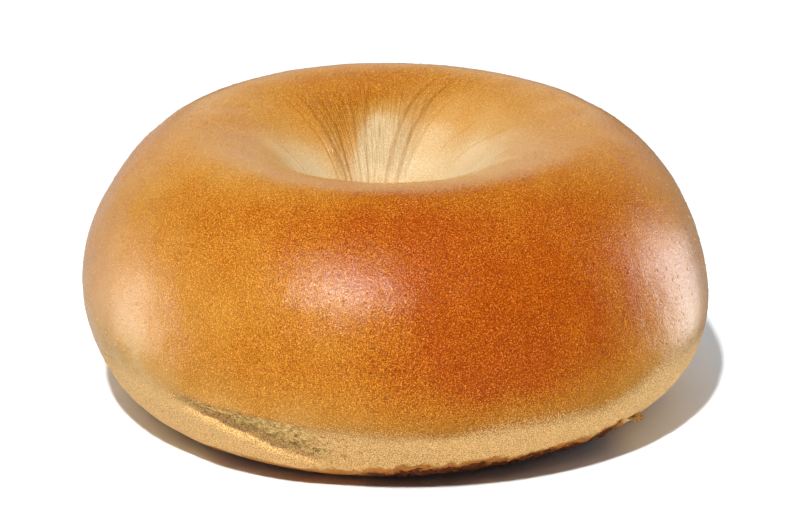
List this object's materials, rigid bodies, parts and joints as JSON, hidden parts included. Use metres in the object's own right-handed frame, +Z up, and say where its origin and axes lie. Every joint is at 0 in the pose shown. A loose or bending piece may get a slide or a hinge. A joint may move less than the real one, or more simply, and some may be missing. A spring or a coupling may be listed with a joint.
{
  "type": "bagel",
  "caption": "Plain round bagel with a browned, satin crust, a pleated funnel round its hole and a low split on one side.",
  "frame": {"origin": "middle of the bottom of the ring's box, on the surface it lies on", "axes": "+Z up through the hole, +Y away from the side with the split, +X to the right of it"},
  "size_m": [0.1076, 0.11, 0.0478],
  "materials": {
    "crust": "satin baked crust, golden to deep brown, paler round the foot and in the funnel"
  },
  "bodies": {
    "root": {"bagel": "crust"}
  },
  "joints": []
}
